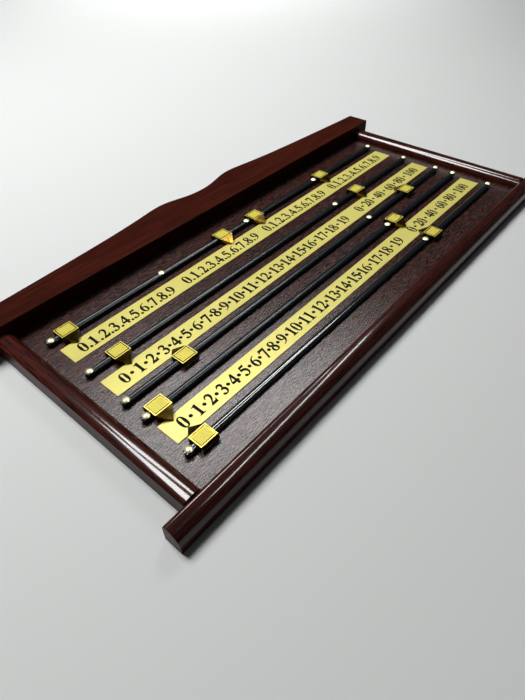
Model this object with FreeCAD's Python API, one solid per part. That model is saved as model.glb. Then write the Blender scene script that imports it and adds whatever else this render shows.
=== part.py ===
import FreeCAD, Part
import os

from FreeCAD import Vector

# Wall scoreboard for snooker and billiards: a framed wooden board with three brass number
# plates and five black slide rails, along which brass pointers slide from number to number.
#
# Frame: the board lies on its back. X runs along the board, +Y is up when it hangs on a wall,
# and +Z points out of its face. Z = 0 is the back plane, and X = Y = 0 is the middle of the
# outline. All sizes are in millimetres.

# ---- the wooden frame ----
BOARD_LENGTH = 842.0        # the bottom rail, end to end
BOARD_HEIGHT = 414.0        # the bottom rail's front to the crest's humps
CREST_LENGTH = 824.0
CREST_DEPTH = 38.0          # back to face
CREST_FOOT_Y = 139.8        # the crest's lower face, against the panel
CREST_CORNER_RADIUS = 1.5
CREST_EDGE_RADIUS = 0.8
# The crest's outline from its middle to its right end: a dip, a hump and a long fall.
CREST_OUTLINE = [
    (0.0, 194.0),
    (31.0, 197.8),
    (56.0, 204.4),
    (79.0, 207.0),
    (110.0, 203.6),
    (160.0, 197.2),
    (240.0, 190.3),
    (330.0, 184.4),
    (412.0, 179.6),
]
CREST_END_SLOPE = Vector(1.0, -0.052, 0.0)

PANEL_THICKNESS = 9.0
PANEL_BACK_Z = 4.0
PANEL_FACE_Z = PANEL_BACK_Z + PANEL_THICKNESS
REBATE_WIDTH = 8.0          # how far the frame laps over the panel's edge
PANEL_GAP = 0.3             # between the panel's edge and the rebate's wall

SIDE_LIP_X = 372.0          # the side moulding's inner edge
SIDE_WIDTH = 24.0
SIDE_CROWN_Z = 27.0
SIDE_ROUND_RADIUS = 12.0    # the round on the side moulding's inner edge
SIDE_SHOULDER = (18.5, 26.4)
SIDE_OUTER_Z = 23.5

BOTTOM_TOP_Y = -184.8       # the bottom rail's inner face
BOTTOM_WIDTH = BOARD_HEIGHT / 2 + BOTTOM_TOP_Y
BOTTOM_CROWN_Z = 26.0
BOTTOM_INNER_RADIUS = 5.0
BOTTOM_NOSE_Z = 8.0         # where the quarter round meets the front face
BOTTOM_NOSE_SHARE = 0.707   # of the quarter round's size, at its middle
BOTTOM_CHAMFER = 1.5

# ---- the number plates ----
PLATE_LENGTH = 700.0
PLATE_HEIGHT = 31.5
PLATE_THICKNESS = 1.0
PLATE_CORNER_RADIUS = 0.6
PLATE_FACE_Z = PANEL_FACE_Z + PLATE_THICKNESS
PLATES = {"top_number_plate": 62.2, "middle_number_plate": -16.0, "bottom_number_plate": -111.4}

# ---- the slide rails ----
RAIL_WIDTH = 8.7
RAIL_BASE_Z = 16.6          # the flat underside, clear of the panel
RAIL_SHOULDER_Z = 18.0
RAIL_CROWN_Z = 20.4
RAIL_END_MARGIN = 6.5       # past the end screws' centres
QUARTER_SCREWS = [-350.0, -175.5, -1.0, 173.5, 348.0]
SPLIT_SCREWS = [-350.0, 128.5, 348.0]
SPACER_RADIUS = 3.0

# Each rail: its centre's Y, the side of it that the pointers point to, its screws' X, and each
# pointer's name and X. There is one pointer in each stretch between two screws.
RAILS = {
    1: (94.4, -1, QUARTER_SCREWS, {
        "frames_pointer_1": -327.9,
        "frames_pointer_2": -55.1,
        "frames_pointer_3": 18.1,
        "frames_pointer_4": 192.4,
    }),
    2: (17.4, -1, SPLIT_SCREWS, {"units_pointer_1": -309.6, "twenties_pointer_1": 189.1}),
    3: (-47.1, 1, SPLIT_SCREWS, {"units_pointer_2": -264.4, "twenties_pointer_2": 241.0}),
    4: (-79.8, -1, SPLIT_SCREWS, {"units_pointer_3": -333.4, "twenties_pointer_3": 147.0}),
    5: (-143.7, 1, SPLIT_SCREWS, {"units_pointer_4": -330.4, "twenties_pointer_4": 150.0}),
}

# ---- the pointers ----
POINTER_LENGTH = 23.4       # along the rail
POINTER_WIDTH = 19.0        # across the rail, without the nose
POINTER_TOP_Z = 22.4
POINTER_FOOT_Z = 13.6
POINTER_BULGE = (-11.3, 18.6)
POINTER_HEEL_Y = -10.7
NOSE_REACH = 23.0           # from the rail's middle to the tip
NOSE_FOOT_Z = PLATE_FACE_Z + 0.3
NOSE_TIP_HEIGHT = 0.8
LIP_WIDTH = 1.0             # the raised lip round the pointer's top
GROOVE_WIDTH = 1.8
GROOVE_DEPTH = 0.8
RUNNING_CLEARANCE = 0.08
FOOT_SLOT_HALF_WIDTH = 2.6
POINTER_WALL = 1.4
POINTER_ROOF_Z = 20.7
END_POCKET_DEPTH = 4.5

# ---- screws and dowels ----
SHANK_RADIUS = 1.5
SHANK_HOLE_RADIUS = 1.6
PILOT_CLEARANCE = 0.02
HEAD_RADIUS = 4.5
HEAD_SEAT_Z = 19.8
HEAD_RIM = 0.4
HEAD_DOME = 1.8
RAIL_SCREW_TIP_Z = 5.0
RECESS_LENGTH = 4.0
RECESS_WIDTH = 0.8
RECESS_DEPTH = 1.1

PANEL_SCREW_TIP_Z = 20.0
PANEL_SCREW_HEAD_RADIUS = 3.2
PANEL_SCREW_HEAD_DEPTH = 2.0
PANEL_SCREW_INSET = 4.0     # from the lips of the frame
PANEL_SCREW_XS = [-300.0, -150.0, 0.0, 150.0, 300.0]
PANEL_SCREW_YS = [-80.0, 60.0]

DOWEL_RADIUS = 3.0
DOWEL_REACH = 12.0          # into each of the two pieces that it joins
DOWEL_FROM_LIP = 15.0
DOWEL_ZS = [7.0, 18.0]

# ---- keyhole hangers in the crest's back ----
HANGER_X = 300.0
HANGER_LENGTH = 46.0
HANGER_HEIGHT = 22.0
HANGER_THICKNESS = 2.0
HANGER_FOOT_Y = 150.5
HANGER_FIT = 0.15           # between the plate's edge and its recess
KEYHOLE_RADIUS = 4.75
KEYHOLE_FROM_FOOT = 7.0
KEYHOLE_SLOT_HALF_WIDTH = 2.2
KEYHOLE_SLOT_LENGTH = 9.0
HANGER_POCKET_LENGTH = 14.0
HANGER_POCKET_DEPTH = 8.0
HANGER_SCREW_OFFSET = 17.0
HANGER_SCREW_LENGTH = 14.0
HANGER_SCREW_HEAD_DEPTH = 1.6
HANGER_SCREW_HEAD_RADIUS = 2.9


def box(low, high):
    """A box from its lowest corner to its highest."""
    size = [b - a for a, b in zip(low, high)]
    return Part.makeBox(*size, Vector(*low))


def rod(radius, low, height, axis=Vector(0, 0, 1)):
    return Part.makeCylinder(radius, height, Vector(*low), axis)


def line(start, end):
    return Part.LineSegment(start, end).toShape()


def arc(start, middle, end):
    return Part.Arc(start, middle, end).toShape()


def prism(edges, direction):
    """Extrudes the closed outline that the edges make."""
    return Part.Face(Part.Wire(edges)).extrude(direction)


def polygon_prism(points, direction):
    return Part.Face(Part.makePolygon(points + points[:1])).extrude(direction)


def join(shapes):
    return shapes[0].fuse(shapes[1:]).removeSplitter() if len(shapes) > 1 else shapes[0]


def save(name, shape):
    """Writes one node. A group of separate solids stays a compound."""
    if not shape.isValid() or not shape.Solids:
        raise ValueError(name + " isn't a valid solid")
    shape.exportStep("parts/" + name + ".step")
    print(f"{name}: {len(shape.Solids)} solid(s), {shape.Volume / 1000:.2f} cm3")


def panel_box(margin, low_z, high_z):
    """The panel's outline, grown by a margin, between two heights."""
    half_length = SIDE_LIP_X + REBATE_WIDTH - PANEL_GAP + margin
    low_y = BOTTOM_TOP_Y - REBATE_WIDTH + PANEL_GAP - margin
    high_y = CREST_FOOT_Y + REBATE_WIDTH - PANEL_GAP + margin
    return box((-half_length, low_y, low_z), (half_length, high_y, high_z))


def rebate():
    """What the frame gives up behind the panel's edge."""
    return panel_box(PANEL_GAP, 0.0, PANEL_FACE_Z)


def panel_screw_places():
    top = CREST_FOOT_Y + PANEL_SCREW_INSET
    bottom = BOTTOM_TOP_Y - PANEL_SCREW_INSET
    side = SIDE_LIP_X + PANEL_SCREW_INSET
    places = [(x, y) for x in PANEL_SCREW_XS for y in (bottom, top)]
    return places + [(x, y) for x in (-side, side) for y in PANEL_SCREW_YS]


def panel_screw(x, y, growth=0.0):
    """A countersunk screw from the panel's back into the frame. Growth makes its hole."""
    radius = SHANK_RADIUS + growth
    shank = rod(radius, (x, y, PANEL_BACK_Z), PANEL_SCREW_TIP_Z - PANEL_BACK_Z + growth)
    head = Part.makeCone(PANEL_SCREW_HEAD_RADIUS + growth, radius, PANEL_SCREW_HEAD_DEPTH,
                         Vector(x, y, PANEL_BACK_Z))
    return join([shank, head])


def panel_screw_holes():
    return [panel_screw(x, y, PILOT_CLEARANCE) for x, y in panel_screw_places()]


def dowels(growth=0.0):
    """The dowels between the side mouldings' ends and the crest and bottom rail."""
    reach = DOWEL_REACH + growth
    return [
        rod(DOWEL_RADIUS + growth, (side * (SIDE_LIP_X + DOWEL_FROM_LIP), y - reach, z), 2 * reach,
            Vector(0, 1, 0))
        for side in (-1, 1) for y in (BOTTOM_TOP_Y, CREST_FOOT_Y) for z in DOWEL_ZS
    ]


def keyhole(x, radius, slot_half_width, low_z, high_z):
    """The cutter for a round hole with a slot above it."""
    centre_y = HANGER_FOOT_Y + KEYHOLE_FROM_FOOT
    height = high_z - low_z
    top_y = centre_y + KEYHOLE_SLOT_LENGTH
    return join([
        rod(radius, (x, centre_y, low_z), height),
        box((x - slot_half_width, centre_y, low_z), (x + slot_half_width, top_y, high_z)),
        rod(slot_half_width, (x, top_y, low_z), height),
    ])


def hanger_screw(x, growth=0.0):
    """A countersunk screw, flush with the hanger plate's outer face."""
    y = HANGER_FOOT_Y + HANGER_HEIGHT / 2
    radius = SHANK_RADIUS + growth
    shank = rod(radius, (x, y, 0.0), HANGER_SCREW_LENGTH + growth)
    head = Part.makeCone(HANGER_SCREW_HEAD_RADIUS + growth, radius, HANGER_SCREW_HEAD_DEPTH,
                         Vector(x, y, 0.0))
    return join([shank, head])


def hanger_screw_places(x):
    return [x - HANGER_SCREW_OFFSET, x + HANGER_SCREW_OFFSET]


def hanger_plate(x):
    half = HANGER_LENGTH / 2
    top_y = HANGER_FOOT_Y + HANGER_HEIGHT
    plate = box((x - half, HANGER_FOOT_Y, 0.0), (x + half, top_y, HANGER_THICKNESS))
    cutters = [keyhole(x, KEYHOLE_RADIUS, KEYHOLE_SLOT_HALF_WIDTH, -1.0, HANGER_THICKNESS + 1.0)]
    cutters += [hanger_screw(place, PILOT_CLEARANCE) for place in hanger_screw_places(x)]
    return plate.cut(cutters)


def hanger_recess(x):
    """The plate's recess in the crest, with the deeper pocket for a wall screw's head."""
    half = HANGER_LENGTH / 2 + HANGER_FIT
    pocket_half = HANGER_POCKET_LENGTH / 2
    low_y = HANGER_FOOT_Y - HANGER_FIT
    high_y = HANGER_FOOT_Y + HANGER_HEIGHT + HANGER_FIT
    depth = HANGER_THICKNESS + HANGER_POCKET_DEPTH
    return [
        box((x - half, low_y, -1.0), (x + half, high_y, HANGER_THICKNESS)),
        box((x - pocket_half, HANGER_FOOT_Y, 0.0), (x + pocket_half, high_y - HANGER_FIT, depth)),
    ]


def crest_board():
    """The shaped board along the top, with two humps either side of its middle."""
    half = CREST_LENGTH / 2
    right = [Vector(x, y, 0.0) for x, y in CREST_OUTLINE]
    left = [Vector(-x, y, 0.0) for x, y in reversed(CREST_OUTLINE[1:])]
    start_slope = Vector(CREST_END_SLOPE.x, -CREST_END_SLOPE.y, 0.0)
    curve = Part.BSplineCurve()
    curve.interpolate(Points=left + right, InitialTangent=start_slope, FinalTangent=CREST_END_SLOPE)
    foot_left = Vector(-half, CREST_FOOT_Y, 0.0)
    foot_right = Vector(half, CREST_FOOT_Y, 0.0)
    outline = [curve.toShape(), line(right[-1], foot_right), line(foot_right, foot_left),
               line(foot_left, left[0])]
    board = prism(outline, Vector(0, 0, CREST_DEPTH))
    corners = [edge for edge in board.Edges if edge.BoundBox.ZLength > CREST_DEPTH / 2]
    board = board.makeFillet(CREST_CORNER_RADIUS, corners)
    front = [edge for edge in board.Edges if edge.BoundBox.ZMin > CREST_DEPTH - 0.01]
    board = board.makeFillet(CREST_EDGE_RADIUS, front)
    cutters = [rebate()] + panel_screw_holes() + dowels(PILOT_CLEARANCE)
    for x in (-HANGER_X, HANGER_X):
        cutters += hanger_recess(x)
        cutters += [hanger_screw(place, PILOT_CLEARANCE) for place in hanger_screw_places(x)]
    return board.cut(cutters)


def side_moulding(side):
    """A side of the frame: round on its inner edge and crowned across its face."""
    def at(from_lip, z):
        return Vector(side * (SIDE_LIP_X + from_lip), BOTTOM_TOP_Y, z)

    radius = SIDE_ROUND_RADIUS
    spring_z = SIDE_CROWN_Z - radius
    corner = radius * (1 - 0.5 ** 0.5)
    outline = [
        line(at(0.0, 0.0), at(0.0, spring_z)),
        arc(at(0.0, spring_z), at(corner, SIDE_CROWN_Z - corner), at(radius, SIDE_CROWN_Z)),
        arc(at(radius, SIDE_CROWN_Z), at(*SIDE_SHOULDER), at(SIDE_WIDTH, SIDE_OUTER_Z)),
        line(at(SIDE_WIDTH, SIDE_OUTER_Z), at(SIDE_WIDTH, 0.0)),
        line(at(SIDE_WIDTH, 0.0), at(0.0, 0.0)),
    ]
    moulding = prism(outline, Vector(0, CREST_FOOT_Y - BOTTOM_TOP_Y, 0))
    return moulding.cut([rebate()] + panel_screw_holes() + dowels(PILOT_CLEARANCE))


def bottom_rail():
    """The quarter-round rail along the bottom, longer than the rest of the frame."""
    def at(from_face, z):
        return Vector(-BOARD_LENGTH / 2, BOTTOM_TOP_Y - from_face, z)

    radius = BOTTOM_INNER_RADIUS
    corner = radius * (1 - 0.5 ** 0.5)
    nose_width = BOTTOM_WIDTH - radius
    nose_height = BOTTOM_CROWN_Z - BOTTOM_NOSE_Z
    nose_middle = at(radius + nose_width * BOTTOM_NOSE_SHARE,
                     BOTTOM_NOSE_Z + nose_height * BOTTOM_NOSE_SHARE)
    outline = [
        line(at(0.0, 0.0), at(0.0, BOTTOM_CROWN_Z - radius)),
        arc(at(0.0, BOTTOM_CROWN_Z - radius), at(corner, BOTTOM_CROWN_Z - corner),
            at(radius, BOTTOM_CROWN_Z)),
        arc(at(radius, BOTTOM_CROWN_Z), nose_middle, at(BOTTOM_WIDTH, BOTTOM_NOSE_Z)),
        line(at(BOTTOM_WIDTH, BOTTOM_NOSE_Z), at(BOTTOM_WIDTH, BOTTOM_CHAMFER)),
        line(at(BOTTOM_WIDTH, BOTTOM_CHAMFER), at(BOTTOM_WIDTH - BOTTOM_CHAMFER, 0.0)),
        line(at(BOTTOM_WIDTH - BOTTOM_CHAMFER, 0.0), at(0.0, 0.0)),
    ]
    rail = prism(outline, Vector(BOARD_LENGTH, 0, 0))
    return rail.cut([rebate()] + panel_screw_holes() + dowels(PILOT_CLEARANCE))


def back_panel():
    panel = panel_box(0.0, PANEL_BACK_Z, PANEL_FACE_Z)
    pilots = [
        rod(SHANK_RADIUS + PILOT_CLEARANCE, (x, y, RAIL_SCREW_TIP_Z),
            PANEL_FACE_Z - RAIL_SCREW_TIP_Z)
        for y, _, screws, _ in RAILS.values() for x in screws
    ]
    return panel.cut(panel_screw_holes() + pilots)


def number_plate(centre_y):
    half_length = PLATE_LENGTH / 2
    half_height = PLATE_HEIGHT / 2
    plate = box((-half_length, centre_y - half_height, PANEL_FACE_Z),
                (half_length, centre_y + half_height, PLATE_FACE_Z))
    corners = [edge for edge in plate.Edges if edge.BoundBox.ZLength > PLATE_THICKNESS / 2]
    return plate.makeFillet(PLATE_CORNER_RADIUS, corners)


def rail_section(x, y, growth=0.0):
    """The half-round section of a slide rail, grown all round for a pointer's channel."""
    half = RAIL_WIDTH / 2 + growth
    base = Vector(x, y - half, RAIL_BASE_Z - growth)
    shoulder = Vector(x, y - half, RAIL_SHOULDER_Z)
    crown = Vector(x, y, RAIL_CROWN_Z + growth)
    far_shoulder = Vector(x, y + half, RAIL_SHOULDER_Z)
    far_base = Vector(x, y + half, RAIL_BASE_Z - growth)
    return [line(base, shoulder), arc(shoulder, crown, far_shoulder), line(far_shoulder, far_base),
            line(far_base, base)]


def slide_rail(y, screws):
    """A half-round bar with round ends, drilled and spot-faced for its screws."""
    half_width = RAIL_WIDTH / 2
    left = screws[0] - RAIL_END_MARGIN
    right = screws[-1] + RAIL_END_MARGIN
    bar = prism(rail_section(left, y), Vector(right - left, 0, 0))
    height = RAIL_CROWN_Z - RAIL_BASE_Z + 1.0
    outline = join([
        box((left + half_width, y - half_width, RAIL_BASE_Z),
            (right - half_width, y + half_width, RAIL_CROWN_Z + 1.0)),
        rod(half_width, (left + half_width, y, RAIL_BASE_Z), height),
        rod(half_width, (right - half_width, y, RAIL_BASE_Z), height),
    ])
    seat_radius = HEAD_RADIUS + PILOT_CLEARANCE
    cutters = []
    for x in screws:
        cutters.append(rod(SHANK_HOLE_RADIUS, (x, y, RAIL_BASE_Z - 1.0), height + 1.0))
        cutters.append(rod(seat_radius, (x, y, HEAD_SEAT_Z), RAIL_CROWN_Z - HEAD_SEAT_Z + 1.0))
    return bar.common(outline).cut(cutters)


def spacer(x, y):
    height = RAIL_BASE_Z - PANEL_FACE_Z
    tube = rod(SPACER_RADIUS, (x, y, PANEL_FACE_Z), height)
    return tube.cut(rod(SHANK_HOLE_RADIUS, (x, y, PANEL_FACE_Z - 1.0), height + 2.0))


def rail_screw(x, y):
    """A round-headed screw with a cross recess, through the rail and spacer into the panel."""
    rim_z = HEAD_SEAT_Z + HEAD_RIM
    top_z = rim_z + HEAD_DOME
    ball_radius = (HEAD_RADIUS ** 2 + HEAD_DOME ** 2) / (2 * HEAD_DOME)
    ball = Part.makeSphere(ball_radius, Vector(x, y, top_z - ball_radius))
    dome = ball.common(rod(HEAD_RADIUS, (x, y, rim_z), HEAD_DOME + 1.0))
    tip_z = RAIL_SCREW_TIP_Z + SHANK_RADIUS
    screw = join([
        rod(HEAD_RADIUS, (x, y, HEAD_SEAT_Z), HEAD_RIM),
        dome,
        rod(SHANK_RADIUS, (x, y, tip_z), HEAD_SEAT_Z - tip_z),
        Part.makeCone(0.2, SHANK_RADIUS, SHANK_RADIUS, Vector(x, y, RAIL_SCREW_TIP_Z)),
    ])
    low_z = top_z - RECESS_DEPTH
    long_half = RECESS_LENGTH / 2
    short_half = RECESS_WIDTH / 2
    recess = [
        box((x - long_half, y - short_half, low_z), (x + long_half, y + short_half, top_z)),
        box((x - short_half, y - long_half, low_z), (x + short_half, y + long_half, top_z)),
    ]
    return screw.cut(recess)


def pointer_body():
    """The pointer's block, with its bulging back."""
    end = -POINTER_LENGTH / 2
    half = POINTER_WIDTH / 2
    top_front = Vector(end, half, POINTER_TOP_Z)
    top_back = Vector(end, -half, POINTER_TOP_Z)
    heel = Vector(end, POINTER_HEEL_Y, POINTER_FOOT_Z)
    foot = Vector(end, half, POINTER_FOOT_Z)
    outline = [line(foot, top_front), line(top_front, top_back),
               arc(top_back, Vector(end, *POINTER_BULGE), heel), line(heel, foot)]
    return prism(outline, Vector(POINTER_LENGTH, 0, 0))


def pointer_nose():
    """The pyramid that slopes from the pointer's top edge down to its tip on the plate."""
    half = POINTER_LENGTH / 2
    root_y = POINTER_WIDTH / 2
    tip_z = NOSE_FOOT_Z + NOSE_TIP_HEIGHT
    plan = [Vector(-half, root_y, NOSE_FOOT_Z), Vector(half, root_y, NOSE_FOOT_Z),
            Vector(0, NOSE_REACH, NOSE_FOOT_Z)]
    block = polygon_prism(plan, Vector(0, 0, POINTER_TOP_Z - NOSE_FOOT_Z))
    slope = [Vector(-half, root_y, POINTER_TOP_Z), Vector(-half, NOSE_REACH, tip_z),
             Vector(-half, NOSE_REACH, POINTER_TOP_Z)]
    return block.cut(polygon_prism(slope, Vector(POINTER_LENGTH, 0, 0)))


def pointer_groove():
    """The groove between the lip round the pointer's top and its raised pad."""
    half_x = POINTER_LENGTH / 2 - LIP_WIDTH
    half_y = POINTER_WIDTH / 2 - LIP_WIDTH
    low_z = POINTER_TOP_Z - GROOVE_DEPTH
    outer = box((-half_x, -half_y, low_z), (half_x, half_y, POINTER_TOP_Z))
    pad_x = half_x - GROOVE_WIDTH
    pad_y = half_y - GROOVE_WIDTH
    return outer.cut(box((-pad_x, -pad_y, low_z), (pad_x, pad_y, POINTER_TOP_Z)))


def pointer():
    """One pointer on a rail at the origin, pointing along +Y."""
    half = POINTER_LENGTH / 2
    channel = prism(rail_section(-half, 0.0, RUNNING_CLEARANCE), Vector(POINTER_LENGTH, 0, 0))
    foot_slot = box((-half, -FOOT_SLOT_HALF_WIDTH, PANEL_FACE_Z),
                    (half, FOOT_SLOT_HALF_WIDTH, RAIL_BASE_Z))
    heel_y = POINTER_HEEL_Y + POINTER_WALL
    front_y = POINTER_WIDTH / 2 - POINTER_WALL
    pockets = [
        box((low_x, heel_y, PANEL_FACE_Z), (low_x + END_POCKET_DEPTH, front_y, POINTER_ROOF_Z))
        for low_x in (-half, half - END_POCKET_DEPTH)
    ]
    solid = join([pointer_body(), pointer_nose()])
    return solid.cut([pointer_groove(), channel, foot_slot] + pockets)


def place_pointer(shape, x, y, side):
    """Turns a pointer to the side it points to, and puts it on its rail."""
    placed = shape.copy()
    if side < 0:
        placed.rotate(Vector(0, 0, 0), Vector(0, 0, 1), 180)
    placed.translate(Vector(x, y, 0))
    return placed


def save_rails():
    pattern = pointer()
    for number, (y, side, screws, pointers) in RAILS.items():
        save(f"slide_rail_{number}", slide_rail(y, screws))
        save(f"rail_{number}_spacers", Part.makeCompound([spacer(x, y) for x in screws]))
        save(f"rail_{number}_screws", Part.makeCompound([rail_screw(x, y) for x in screws]))
        for name, x in pointers.items():
            save(name, place_pointer(pattern, x, y, side))


def main():
    os.makedirs("parts", exist_ok=True)
    save("crest_board", crest_board())
    save("bottom_rail", bottom_rail())
    save("left_side_moulding", side_moulding(-1))
    save("right_side_moulding", side_moulding(1))
    save("back_panel", back_panel())
    for name, centre_y in PLATES.items():
        save(name, number_plate(centre_y))
    save_rails()
    save("frame_dowels", Part.makeCompound(dowels()))
    save("panel_screws", Part.makeCompound([panel_screw(x, y) for x, y in panel_screw_places()]))
    save("left_hanger_plate", hanger_plate(-HANGER_X))
    save("right_hanger_plate", hanger_plate(HANGER_X))
    places = hanger_screw_places(-HANGER_X) + hanger_screw_places(HANGER_X)
    save("hanger_screws", Part.makeCompound([hanger_screw(x) for x in places]))


main()
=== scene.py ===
import bmesh
import bpy
import math

from mathutils import Matrix, Quaternion, Vector


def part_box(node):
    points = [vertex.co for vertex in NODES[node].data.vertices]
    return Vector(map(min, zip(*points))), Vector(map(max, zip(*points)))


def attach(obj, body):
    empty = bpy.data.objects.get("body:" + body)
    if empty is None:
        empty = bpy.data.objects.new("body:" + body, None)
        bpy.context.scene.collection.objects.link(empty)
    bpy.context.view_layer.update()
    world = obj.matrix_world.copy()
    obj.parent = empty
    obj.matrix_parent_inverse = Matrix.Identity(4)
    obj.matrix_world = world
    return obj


# The looks of a wall scoreboard for snooker and billiards: lacquered wood, brushed plates with
# enamelled numbers, polished brass pointers with knurled pads, and black rails. All sizes are in
# metres, in the frame of the CAD model: X along the board, +Y up when it hangs, +Z out of its
# face, and the back on Z = 0.

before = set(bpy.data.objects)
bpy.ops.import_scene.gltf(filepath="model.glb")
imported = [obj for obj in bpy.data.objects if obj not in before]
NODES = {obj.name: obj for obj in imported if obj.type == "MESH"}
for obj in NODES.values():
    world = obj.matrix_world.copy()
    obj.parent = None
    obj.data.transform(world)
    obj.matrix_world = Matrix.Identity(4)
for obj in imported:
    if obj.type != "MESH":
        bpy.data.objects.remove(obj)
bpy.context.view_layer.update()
ROOT_BODY = "board"
MM = 0.001
POINTER_TOP_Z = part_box("frames_pointer_1")[1].z

# ---- camera ----
CAMERA_AT = Vector((-0.5144, -0.3862, 0.4385))
CAMERA_TOWARDS = Vector((-0.1961, -0.1060, 0.0140))
CAMERA_ROLL = math.radians(-1.1)
CAMERA_LENS = 26.26         # in mm
CAMERA_SENSOR = 36          # in mm, along the picture's long side

# ---- numbers on the plates ----
UNITS_PER_EM = 500.0        # a digit's advance in the glyphs' own units
DIGIT_UNITS_HIGH = 676.0
ENAMEL_RISE = 0.05 * MM
ENAMEL_SINK = 0.05 * MM
STROKE_GAIN = 0.40 * MM     # how far each stroke's edge stands outside its contour
# The middle of the first digit and the pitch, for each player's frames.
FRAME_GROUPS = [(-329 * MM, 15.6 * MM), (-159.5 * MM, 15.7 * MM), (9.5 * MM, 15.95 * MM),
                (182.5 * MM, 16.1 * MM)]
# The middles of the numbers 0 to 19, and of 0 to 100 in twenties, in mm.
UNIT_CENTRES = [-328.5, -306.8, -288.3, -269.5, -252, -234.2, -216, -198.7, -183, -165.8,
                -143.8, -117, -89, -61, -36.2, -9.4, 15, 44.5, 72, 104.3]
TWENTY_CENTRES = [148.2, 175, 208.5, 243.5, 275.5, 315]


# ======================================================================================
# Materials
# ======================================================================================

# A colour mix's sockets, by place because their names repeat.
MIX_SHARE = 0
MIX_FIRST = 6
MIX_SECOND = 7
MIX_RESULT = 2


class Shader:
    """A material's node tree, with a short way to add nodes and join them."""

    def __init__(self, name):
        self.material = bpy.data.materials.new(name)
        self.material.use_nodes = True
        self.tree = self.material.node_tree
        self.surface = self.tree.nodes["Principled BSDF"]
        self.place = self.tree.nodes.new("ShaderNodeTexCoord").outputs["Object"]

    def add(self, kind, inputs, output=0, **settings):
        """Adds a node and gives one of its outputs. An input is a value or such an output."""
        node = self.tree.nodes.new(kind)
        for key, value in settings.items():
            setattr(node, key, value)
        self.feed(node, inputs)
        return node.outputs[output]

    def feed(self, node, inputs):
        for key, value in inputs.items():
            if isinstance(value, bpy.types.NodeSocket):
                self.tree.links.new(value, node.inputs[key])
            else:
                node.inputs[key].default_value = value

    def stretched(self, scale):
        """The object's own coordinates, scaled along each axis."""
        return self.add("ShaderNodeVectorMath", {0: self.place, 1: scale}, operation="MULTIPLY")

    def noise(self, scale, detail=3.0, roughness=0.5, distortion=0.0):
        return self.add("ShaderNodeTexNoise", {
            "Vector": self.stretched(scale),
            "Scale": 1.0,
            "Detail": detail,
            "Roughness": roughness,
            "Distortion": distortion,
        })

    def spread(self, value, low, high, to_low, to_high):
        """Maps one range of a value to another, clamped."""
        return self.add("ShaderNodeMapRange", {
            "Value": value,
            "From Min": low,
            "From Max": high,
            "To Min": to_low,
            "To Max": to_high,
        })

    def blend(self, share, first, second):
        """Mixes two colours."""
        node = self.tree.nodes.new("ShaderNodeMix")
        node.data_type = "RGBA"
        self.feed(node, {MIX_SHARE: share, MIX_FIRST: first, MIX_SECOND: second})
        return node.outputs[MIX_RESULT]

    def multiply(self, first, second):
        return self.add("ShaderNodeMath", {0: first, 1: second}, operation="MULTIPLY")

    def add_up(self, first, second):
        return self.add("ShaderNodeMath", {0: first, 1: second}, operation="ADD")

    def bump(self, height, distance, strength=1.0):
        normal = self.add("ShaderNodeBump", {
            "Height": height,
            "Distance": distance,
            "Strength": strength,
        })
        self.feed(self.surface, {"Normal": normal})

    def facing_up(self):
        """The Z of the object's own normal: 1 on level faces and 0 on upright ones."""
        normal = self.add("ShaderNodeTexCoord", {}, output="Normal")
        return self.add("ShaderNodeSeparateXYZ", {0: normal}, output="Z")

    def arrises(self, radius):
        """The normal as if the sharp edges were rounded, and how much of such an edge a place is."""
        rounded = self.add("ShaderNodeBevel", {"Radius": radius}, samples=4)
        flat = self.add("ShaderNodeNewGeometry", {}, output="True Normal")
        agreement = self.add("ShaderNodeVectorMath", {0: rounded, 1: flat}, output="Value",
                             operation="DOT_PRODUCT")
        return rounded, self.spread(agreement, 0.98, 0.86, 0.0, 1.0)

    def finish(self, **inputs):
        """Sets the surface's inputs, named with underscores for spaces."""
        self.feed(self.surface, {key.replace("_", " "): value for key, value in inputs.items()})
        return self.material


def along(direction, fine, coarse):
    """Noise scales for a grain that runs along an axis: coarse along it and fine across it."""
    return tuple(coarse if axis == direction else fine for axis in "xyz")


def panel_wood():
    """Open-grained wood, stained nearly black-brown, with pores that run along the board."""
    shader = Shader("panel_wood")
    pores = shader.noise(along("x", 700, 75), detail=4.0, roughness=0.72)
    figure = shader.noise(along("x", 55, 6), detail=3.0, distortion=0.6)
    pore_share = shader.spread(pores, 0.45, 0.56, 0.0, 1.0)
    light = shader.blend(shader.spread(figure, 0.3, 0.7, 0.0, 1.0),
                         (0.066, 0.018, 0.012, 1), (0.066, 0.033, 0.028, 1))
    colour = shader.blend(pore_share, (0.003, 0.0015, 0.0015, 1), light)
    rough = shader.spread(pores, 0.35, 0.65, 0.26, 0.15)
    shader.bump(pores, 0.24 * MM, 1.0)
    return shader.finish(Base_Color=colour, Roughness=rough, Specular_IOR_Level=0.36)


def crest_wood():
    """Close-grained mahogany under a satin lacquer, with a long soft figure."""
    shader = Shader("crest_wood")
    fibre = shader.noise(along("x", 620, 22), detail=4.0, roughness=0.6)
    figure = shader.noise(along("x", 30, 3), detail=2.0, distortion=0.8)
    light = shader.blend(shader.spread(figure, 0.35, 0.65, 0.0, 1.0),
                         (0.037, 0.0066, 0.0038, 1), (0.053, 0.0103, 0.0055, 1))
    colour = shader.blend(shader.spread(fibre, 0.36, 0.58, 0.0, 1.0), (0.018, 0.0035, 0.0022, 1), light)
    rounded, arris = shader.arrises(0.7 * MM)
    # Painted highlight: the arrises take a lighter colour, besides their rounded normal and thicker
    # coat.
    arris_painted_highlight = shader.blend(arris, colour, (0.16, 0.075, 0.05, 1))
    return shader.finish(Base_Color=arris_painted_highlight, Roughness=0.42, Specular_IOR_Level=0.01,
                         Normal=rounded, Coat_Weight=shader.spread(arris, 0, 1, 0.01, 0.6),
                         Coat_Roughness=0.14, Coat_Normal=rounded)


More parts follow.
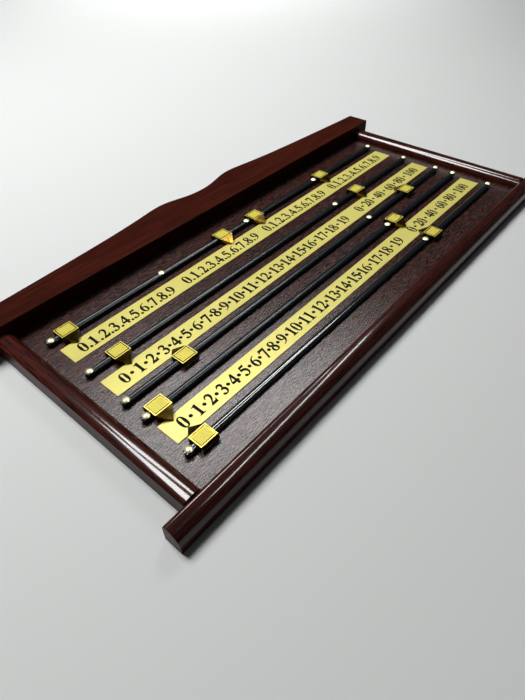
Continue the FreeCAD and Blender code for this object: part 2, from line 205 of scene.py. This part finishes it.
def moulding_wood(direction):
    """Dark mahogany under a gloss lacquer, with the grain along the moulding."""
    shader = Shader("moulding_wood_" + direction)
    fibre = shader.noise(along(direction, 900, 30), detail=4.0, roughness=0.6)
    figure = shader.noise(along(direction, 40, 4), detail=2.0, distortion=0.6)
    light = shader.blend(shader.spread(figure, 0.35, 0.65, 0.0, 1.0),
                         (0.036, 0.0055, 0.0035, 1), (0.066, 0.012, 0.007, 1))
    colour = shader.blend(shader.spread(fibre, 0.40, 0.56, 0.0, 1.0), (0.008, 0.0018, 0.0012, 1), light)
    shader.bump(fibre, 0.10 * MM, 0.8)
    lacquer = shader.spread(shader.facing_up(), 0.05, 0.4, 0.04, 0.8)
    return shader.finish(Base_Color=colour, Roughness=0.3, Specular_IOR_Level=0.04,
                         Coat_Weight=lacquer, Coat_Roughness=shader.spread(fibre, 0.4, 0.6, 0.16, 0.07))


def dowel_wood():
    """Bare pale hardwood, with the grain along the dowels."""
    shader = Shader("dowel_wood")
    fibre = shader.noise(along("y", 900, 60))
    colour = shader.blend(fibre, (0.32, 0.19, 0.09, 1), (0.50, 0.34, 0.18, 1))
    return shader.finish(Base_Color=colour, Roughness=0.6)


def plate_brass():
    """Lacquered brass strip, finely brushed along its length."""
    shader = Shader("plate_brass")
    brushing = shader.noise(along("x", 2600, 30), detail=2.0)
    clouds = shader.noise((16, 40, 40), detail=2.0)
    colour = shader.blend(clouds, (0.55, 0.495, 0.125, 1), (0.63, 0.565, 0.155, 1))
    rough = shader.add_up(shader.spread(brushing, 0.3, 0.7, 0.28, 0.38),
                          shader.spread(clouds, 0.3, 0.7, -0.02, 0.03))
    shader.bump(brushing, 0.006 * MM, 0.5)
    return shader.finish(Base_Color=colour, Metallic=0.1, Roughness=rough,
                         Specular_IOR_Level=0.15)


def pointer_brass():
    """Brass, with painted shade darkening the sides and the groove below the top, and arrises made
    lighter partly by wear and partly as a painted highlight."""
    shader = Shader("pointer_brass")
    marks = shader.noise((260, 260, 260), detail=5.0, roughness=0.7)
    # Painted shade: everything below the top, the groove's floor too, takes two dark colours mixed by a
    # random mottle.
    side_shade_mottle = shader.noise((120, 120, 120), detail=3.0)
    painted_side_shade = shader.blend(shader.spread(side_shade_mottle, 0.4, 0.7, 0.0, 1.0),
                         (0.15, 0.088, 0.011, 1), (0.045, 0.026, 0.004, 1))
    height = shader.add("ShaderNodeSeparateXYZ", {0: shader.place}, output="Z")
    top_share = shader.spread(height, POINTER_TOP_Z - 0.2 * MM, POINTER_TOP_Z - 0.05 * MM, 0.0, 1.0)
    # Below the top the painted side shade, on the top the brass's own colour.
    colour = shader.blend(top_share, painted_side_shade, (0.55, 0.46, 0.07, 1))
    rounded, arris = shader.arrises(0.28 * MM)
    # The arrises take a lighter brass, partly for wear and partly as a painted highlight.
    arris_painted_highlight = shader.blend(arris, colour, (0.74, 0.62, 0.13, 1))
    normal = shader.add("ShaderNodeBump", {
        "Height": marks,
        "Distance": 0.01 * MM,
        "Strength": 0.4,
        "Normal": rounded,
    })
    rough = shader.add_up(shader.spread(marks, 0.3, 0.7, 0.12, 0.22),
                          shader.multiply(top_share, 0.2))
    return shader.finish(Base_Color=arris_painted_highlight, Metallic=shader.spread(top_share, 0, 1, 0.95, 0.35),
                         Roughness=rough, Normal=normal)


def pad_brass():
    """The pointers' knurled pads, brighter and duller than the pointers' sides with their painted
    shade.
    """
    shader = Shader("pad_brass")
    wear = shader.noise((420, 420, 420), detail=3.0)
    colour = shader.blend(wear, (0.37, 0.315, 0.034, 1), (0.62, 0.535, 0.066, 1))
    return shader.finish(Base_Color=colour, Metallic=0.15, Specular_IOR_Level=0.25,
                         Roughness=shader.spread(wear, 0.3, 0.7, 0.40, 0.50))


def screw_brass():
    """Pale brass of the rails' domed screw heads."""
    shader = Shader("screw_brass")
    marks = shader.noise((900, 900, 900), detail=3.0)
    colour = shader.blend(marks, (0.66, 0.62, 0.32, 1), (0.88, 0.85, 0.58, 1))
    shader.bump(marks, 0.02 * MM, 0.4)
    return shader.finish(Base_Color=colour, Metallic=0.7, Roughness=0.34)


def rail_black(name, roughness, gloss):
    """Black lacquer, drawn lengthwise, over a metal bar."""
    shader = Shader(name)
    drawn = shader.noise(along("x", 1500, 12), detail=2.0)
    dust = shader.noise((500, 500, 500), detail=2.0)
    colour = shader.blend(shader.spread(dust, 0.55, 0.8, 0.0, 1.0),
                          (0.0040, 0.0075, 0.0095, 1), (0.010, 0.017, 0.021, 1))
    shader.bump(drawn, 0.02 * MM, 0.4)
    return shader.finish(Base_Color=colour, Specular_IOR_Level=gloss,
                         Roughness=shader.spread(drawn, 0.3, 0.7, roughness, roughness + 0.08))


def spacer_black():
    """Dull black of the spacers under the rails."""
    shader = Shader("spacer_black")
    grain = shader.noise((1200, 1200, 1200))
    shader.bump(grain, 0.02 * MM, 0.5)
    return shader.finish(Base_Color=(0.006, 0.006, 0.007, 1),
                         Roughness=shader.spread(grain, 0.3, 0.7, 0.5, 0.7))


def zinc_steel():
    """Zinc plated steel, slightly mottled."""
    shader = Shader("zinc_steel")
    mottle = shader.noise((300, 300, 300), detail=4.0, roughness=0.6)
    colour = shader.blend(mottle, (0.42, 0.43, 0.44, 1), (0.62, 0.62, 0.60, 1))
    return shader.finish(Base_Color=colour, Metallic=1.0,
                         Roughness=shader.spread(mottle, 0.3, 0.7, 0.28, 0.42))


def number_enamel():
    """Black enamel in the numbers, with a slightly uneven surface."""
    shader = Shader("number_enamel")
    ripple = shader.noise((700, 700, 700))
    shader.bump(ripple, 0.01 * MM, 0.5)
    colour = shader.blend(ripple, (0.002, 0.002, 0.002, 1), (0.006, 0.005, 0.004, 1))
    return shader.finish(Base_Color=colour, Roughness=0.6, Specular_IOR_Level=0.05)


def dress(names, material):
    """Gives CAD nodes a material, on the objects and not on their meshes."""
    for name in names:
        for slot in NODES[name].material_slots:
            slot.link = "OBJECT"
            slot.material = material


def dress_cad():
    rails = range(1, 6)
    plain_rails = range(1, 5)
    pointers = [name for name in NODES if "pointer" in name]
    dress(["crest_board"], crest_wood())
    dress(["bottom_rail"], moulding_wood("x"))
    dress(["left_side_moulding", "right_side_moulding"], moulding_wood("y"))
    dress(["back_panel"], panel_wood())
    dress(["frame_dowels"], dowel_wood())
    dress(["top_number_plate", "middle_number_plate", "bottom_number_plate"], plate_brass())
    dress([f"slide_rail_{number}" for number in plain_rails], rail_black("rail_black", 0.22, 0.3))
    dress(["slide_rail_5"], rail_black("rail_black_polished", 0.10, 1.0))
    dress([f"rail_{number}_spacers" for number in rails], spacer_black())
    dress([f"rail_{number}_screws" for number in rails], screw_brass())
    dress(pointers, pointer_brass())
    dress(["left_hanger_plate", "right_hanger_plate", "hanger_screws", "panel_screws"], zinc_steel())


# ======================================================================================
# Numbers on the plates
# ======================================================================================

# Bold serif digits. Each contour is a closed line through points (x, y). C as a third value marks
# a corner, and the line is smooth elsewhere. A contour inside another is a hole.
C = True
SIX = [
    [(470, 684, C), (300, 630), (120, 500), (28, 270), (90, 60), (255, -14), (415, 55), (472, 210),
     (420, 365), (300, 425), (186, 395, C), (250, 540), (350, 630), (474, 664, C)],
    [(176, 350), (258, 382), (322, 330), (345, 200), (320, 60), (262, 16), (196, 70), (168, 210)],
]
DIGITS = {
    "0": [
        [(250, 688), (24, 337), (250, -14), (476, 337)],
        [(250, 650), (326, 337), (250, 24), (174, 337)],
    ],
    "1": [
        [(66, 582, C), (140, 598, C), (168, 560, C), (170, 120), (146, 36), (66, 22, C), (66, 0, C),
         (440, 0, C), (440, 22, C), (352, 36), (328, 120), (328, 688, C), (300, 688, C), (66, 604, C)],
    ],
    "2": [
        [(18, 488, C), (98, 640), (240, 688), (380, 630), (426, 505), (370, 350), (170, 128, C),
         (345, 128), (412, 146), (456, 210, C), (480, 205, C), (432, 0, C), (20, 0, C), (20, 18, C),
         (190, 210), (285, 370), (305, 480), (262, 570), (175, 598), (95, 558), (44, 480, C)],
    ],
    "3": [
        [(26, 530, C), (104, 650), (225, 688), (355, 645), (402, 545), (320, 410, C), (420, 330),
         (452, 225), (385, 65), (190, -14), (62, 6), (20, 62), (62, 118), (130, 98), (230, 34),
         (312, 80), (336, 170), (290, 270), (150, 318, C), (150, 342, C), (250, 400), (286, 490),
         (248, 575), (168, 600), (96, 570), (48, 516, C)],
    ],
    "4": [
        [(484, 246, C), (404, 246, C), (404, 688, C), (318, 688, C), (18, 236, C), (18, 138, C),
         (280, 138, C), (280, 0, C), (404, 0, C), (404, 138, C), (484, 138, C)],
        [(280, 246, C), (68, 246, C), (280, 566, C)],
    ],
    "5": [
        [(462, 692, C), (444, 692, C), (405, 672), (370, 668, C), (160, 668, C), (60, 376, C),
         (78, 368, C), (120, 374), (240, 345), (332, 270), (358, 160), (322, 66), (240, 34),
         (130, 104), (64, 118), (22, 60), (68, 4), (190, -14), (390, 70), (466, 240), (405, 405),
         (255, 480), (150, 490, C), (176, 566, C), (414, 566, C)],
    ],
    "6": SIX,
    "7": [
        [(482, 676, C), (66, 676, C), (18, 480, C), (42, 480, C), (88, 542), (160, 560), (356, 560, C),
         (150, -14, C), (246, -14, C), (482, 652, C)],
    ],
    "8": [
        [(250, 688), (100, 640), (46, 520), (80, 415), (160, 336, C), (62, 260), (28, 155), (84, 35),
         (245, -14), (408, 40), (470, 175), (430, 300), (336, 380, C), (415, 440), (446, 535),
         (395, 645)],
        [(256, 656), (316, 620), (336, 540), (318, 450), (285, 400, C), (190, 470), (162, 555),
         (190, 630)],
        [(212, 306, C), (160, 240), (142, 158), (172, 60), (250, 18), (325, 60), (346, 140),
         (310, 222)],
    ],
    "9": [[(500 - point[0], 674 - point[1]) + point[2:] for point in contour] for contour in SIX],
}
DOT = [(1, 0), (0, 1), (-1, 0), (0, -1)]    # a round dot with a radius of 1


class Lettering:
    """Sets digits and dots of one size as thin enamel, and gathers them in one mesh."""

    def __init__(self, plate, digit_width, digit_height, foot_lift, dot_radius, dot_height):
        low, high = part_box(plate)
        self.digit_width = digit_width
        self.stretch = Vector((digit_width / UNITS_PER_EM, digit_height / DIGIT_UNITS_HIGH))
        self.foot_y = (low.y + high.y - digit_height) / 2 + foot_lift
        self.middle_z = high.z + (ENAMEL_RISE - ENAMEL_SINK) / 2
        self.dot_radius = dot_radius
        self.dot_height = dot_height
        self.enamel = bmesh.new()

    def stamp(self, contours, offset, stretch):
        """Adds one filled glyph. Its contours are stretched and then moved by an offset."""
        curve = bpy.data.curves.new("glyph", "CURVE")
        curve.dimensions = "2D"
        curve.fill_mode = "BOTH"
        curve.resolution_u = 6
        curve.bevel_depth = STROKE_GAIN
        curve.bevel_resolution = 1
        for contour in contours:
            add_contour(curve, contour, offset, stretch)
        outline = bpy.data.objects.new("glyph", curve)
        mesh = bpy.data.meshes.new_from_object(outline)
        flatten = Matrix.Diagonal((1, 1, (ENAMEL_RISE + ENAMEL_SINK) / 2 / STROKE_GAIN, 1))
        mesh.transform(Matrix.Translation((0, 0, self.middle_z)) @ flatten)
        self.enamel.from_mesh(mesh)
        bpy.data.objects.remove(outline)
        bpy.data.curves.remove(curve)
        bpy.data.meshes.remove(mesh)

    def number(self, text, centre_x):
        left = centre_x - len(text) * self.digit_width / 2
        for index, digit in enumerate(text):
            corner = Vector((left + index * self.digit_width, self.foot_y))
            self.stamp(DIGITS[digit], corner, self.stretch)

    def dot(self, centre_x):
        centre = Vector((centre_x, self.foot_y + self.dot_height))
        self.stamp([DOT], centre, Vector((self.dot_radius, self.dot_radius)))

    def run(self, numbers, centres):
        """Sets numbers on their centres, with a dot midway between each two."""
        last_edge = None
        for text, centre in zip(numbers, centres):
            half = len(text) * self.digit_width / 2
            if last_edge is not None:
                self.dot((last_edge + centre - half) / 2)
            self.number(text, centre)
            last_edge = centre + half

    def finish(self, name, material):
        mesh = bpy.data.meshes.new(name)
        self.enamel.to_mesh(mesh)
        self.enamel.free()
        add_piece(name, mesh, material, ROOT_BODY)


def add_contour(curve, points, offset, stretch):
    """Adds one closed contour to a curve."""
    spline = curve.splines.new("BEZIER")
    spline.bezier_points.add(len(points) - 1)
    spline.use_cyclic_u = True
    for bezier, point in zip(spline.bezier_points, points):
        bezier.co = (offset.x + point[0] * stretch.x, offset.y + point[1] * stretch.y, 0)
        kind = "VECTOR" if len(point) > 2 else "AUTO"
        bezier.handle_left_type = kind
        bezier.handle_right_type = kind


def frames_numbers(name, plate, material):
    """Four runs of 0 to 9, one for each player's frames, with low dots."""
    letters = Lettering(plate, digit_width=10.2 * MM, digit_height=16.9 * MM,
                        foot_lift=-0.6 * MM, dot_radius=1.6 * MM, dot_height=1.5 * MM)
    for first_x, pitch in FRAME_GROUPS:
        letters.run("0123456789", [first_x + index * pitch for index in range(10)])
    letters.finish(name, material)


def score_numbers(name, plate, material):
    """The units from 0 to 19 and the twenties up to 100, with dots at mid-height."""
    letters = Lettering(plate, digit_width=10.4 * MM, digit_height=16.3 * MM,
                        foot_lift=0, dot_radius=2.0 * MM, dot_height=8.1 * MM)
    letters.run([str(value) for value in range(20)], [x * MM for x in UNIT_CENTRES])
    letters.run([str(value) for value in range(0, 101, 20)], [x * MM for x in TWENTY_CENTRES])
    letters.finish(name, material)


def add_numbers():
    enamel = number_enamel()
    frames_numbers("top_plate_numbers", "top_number_plate", enamel)
    score_numbers("middle_plate_numbers", "middle_number_plate", enamel)
    score_numbers("bottom_plate_numbers", "bottom_number_plate", enamel)


# ======================================================================================
# Knurled pads on the pointers
# ======================================================================================

POINTER_WIDTH = 19 * MM     # across the rail, without the nose
PAD_INSET = 2.3 * MM        # from the pointer's edges to the pad's
PAD_RISE = 0.06 * MM        # of the pad's face over the pointer's top
PAD_SINK = 0.10 * MM        # of the pad's foot into the pointer
KNURL_INSET = 1.0 * MM      # from the pad's edges to its knurling
KNURL_PITCH = 1.25 * MM
KNURL_RISE = 0.09 * MM
KNURL_TOP = 0.60            # a stud's top, as a share of its pitch
KNURL_FOOT = 0.90           # and its foot


def add_piece(name, mesh, material, body):
    """Makes a mesh into a piece that rides on a body."""
    mesh.materials.clear()
    mesh.materials.append(material)
    piece = bpy.data.objects.new(name, mesh)
    bpy.context.collection.objects.link(piece)
    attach(piece, body)
    return piece


def add_frustum(mesh, centre, foot, top):
    """A block with sloping sides. Its foot and its top are half sizes in X and Y, and a Z."""
    rings = []
    for half_x, half_y, z in (foot, top):
        corners = [(-half_x, -half_y), (half_x, -half_y), (half_x, half_y), (-half_x, half_y)]
        rings.append([mesh.verts.new((centre.x + x, centre.y + y, z)) for x, y in corners])
    lower, upper = rings
    mesh.faces.new(lower[::-1])
    mesh.faces.new(upper)
    for index in range(4):
        following = (index + 1) % 4
        mesh.faces.new((lower[index], lower[following], upper[following], upper[index]))


def knurled_pad(name, material):
    """A flat pad over the pointer's top, with rows of small studs inside a plain border."""
    low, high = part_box(name)
    rail_low, rail_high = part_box(rail_of(name))
    centre = Vector(((low.x + high.x) / 2, (rail_low.y + rail_high.y) / 2))
    half_x = (high.x - low.x) / 2 - PAD_INSET
    half_y = POINTER_WIDTH / 2 - PAD_INSET
    face_z = POINTER_TOP_Z + PAD_RISE
    pad = bmesh.new()
    add_frustum(pad, centre, (half_x, half_y, POINTER_TOP_Z - PAD_SINK),
                (half_x - PAD_RISE, half_y - PAD_RISE, face_z))
    columns = int(2 * (half_x - KNURL_INSET) / KNURL_PITCH)
    rows = int(2 * (half_y - KNURL_INSET) / KNURL_PITCH)
    foot = KNURL_PITCH * KNURL_FOOT / 2
    top = KNURL_PITCH * KNURL_TOP / 2
    for column in range(columns):
        for row in range(rows):
            offset = Vector((column - (columns - 1) / 2, row - (rows - 1) / 2)) * KNURL_PITCH
            add_frustum(pad, centre + offset, (foot, foot, face_z - PAD_RISE / 2),
                        (top, top, face_z + KNURL_RISE))
    mesh = bpy.data.meshes.new(name + "_pad")
    pad.to_mesh(mesh)
    pad.free()
    add_piece(name + "_pad", mesh, material, name)


def rail_of(pointer):
    """The rail under a pointer: the one whose middle is nearest to the pointer's."""
    low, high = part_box(pointer)
    middle = (low.y + high.y) / 2

    def distance(rail):
        rail_low, rail_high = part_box(rail)
        return abs((rail_low.y + rail_high.y) / 2 - middle)

    return min((name for name in NODES if name.startswith("slide_rail")), key=distance)


def add_pads():
    material = pad_brass()
    for name in sorted(NODES):
        if "pointer" in name:
            knurled_pad(name, material)


# ======================================================================================
# Floor, lights and camera
# ======================================================================================

FLOOR_HALF = 6
SOFTBOX_WATTS = 4           # per square metre, for a radiance of 1


def add_floor():
    mesh = bpy.data.meshes.new("floor")
    corners = [(-FLOOR_HALF, -FLOOR_HALF, 0), (FLOOR_HALF, -FLOOR_HALF, 0),
               (FLOOR_HALF, FLOOR_HALF, 0), (-FLOOR_HALF, FLOOR_HALF, 0)]
    mesh.from_pydata(corners, [], [(0, 1, 2, 3)])
    shader = Shader("floor")
    shader.finish(Base_Color=(0.56, 0.57, 0.56, 1), Roughness=0.9, Specular_IOR_Level=0.2)
    mesh.materials.append(shader.material)
    floor = bpy.data.objects.new("floor", mesh)
    bpy.context.collection.objects.link(floor)


def add_softbox(name, place, size, radiance):
    """A rectangular light that faces the board's middle. Its size is its width and height."""
    data = bpy.data.lights.new(name, "AREA")
    data.shape = "RECTANGLE"
    data.size, data.size_y = size
    data.energy = SOFTBOX_WATTS * size[0] * size[1] * radiance
    light = bpy.data.objects.new(name, data)
    light.location = place
    light.rotation_mode = "QUATERNION"
    light.rotation_quaternion = (-Vector(place)).to_track_quat("-Z", "Y")
    bpy.context.collection.objects.link(light)
    return light


def add_lamp(name, place, size, radiance):
    """A softbox that isn't seen in reflections."""
    lamp = add_softbox(name, place, size, radiance)
    lamp.visible_glossy = False
    return lamp


def add_reflector(name, place, size, radiance):
    """A softbox that is only seen in reflections, for the lacquer's highlights."""
    add_softbox(name, place, size, radiance).visible_diffuse = False


def add_room():
    """A dim, slightly blue room."""
    world = bpy.data.worlds.new("studio")
    world.use_nodes = True
    background = world.node_tree.nodes["Background"]
    background.inputs["Color"].default_value = (0.85, 0.93, 1.0, 1)
    background.inputs["Strength"].default_value = 0.04
    bpy.context.scene.world = world
    bpy.context.scene.view_settings.view_transform = "Standard"


def add_lights():
    """A key light behind the board, a fill on its right, a lamp that faces straight down on the
    floor behind, and three reflectors."""
    add_lamp("key", (-0.45, 1.12, 1.9), (0.8, 0.8), 24)
    add_lamp("right_fill", (0.9, 0.5, 1.3), (0.5, 0.5), 5)
    floor_light = add_lamp("floor_light", (1.8, 1.9, 1.8), (1.6, 1.6), 3)
    floor_light.rotation_quaternion = Quaternion()
    floor_light.data.spread = math.radians(100)
    add_reflector("side_reflector", (-0.55, 0.74, 1.9), (0.95, 0.72), 19)
    add_reflector("near_reflector", (0.5, -0.50, 1.2), (1.2, 0.10), 18)
    add_reflector("lamp_reflector", (0.38, 0.47, 1.2), (1.0, 0.22), 20)


def add_camera():
    data = bpy.data.cameras.new("camera")
    data.sensor_width = CAMERA_SENSOR
    data.lens = CAMERA_LENS
    camera = bpy.data.objects.new("camera", data)
    camera.location = CAMERA_AT
    turn = (CAMERA_TOWARDS - CAMERA_AT).to_track_quat("-Z", "Y")
    roll = Quaternion((0, 0, 1), CAMERA_ROLL)
    camera.rotation_mode = "QUATERNION"
    camera.rotation_quaternion = turn @ roll
    bpy.context.collection.objects.link(camera)
    bpy.context.scene.camera = camera


dress_cad()
add_numbers()
add_pads()
add_floor()
add_room()
add_lights()
add_camera()
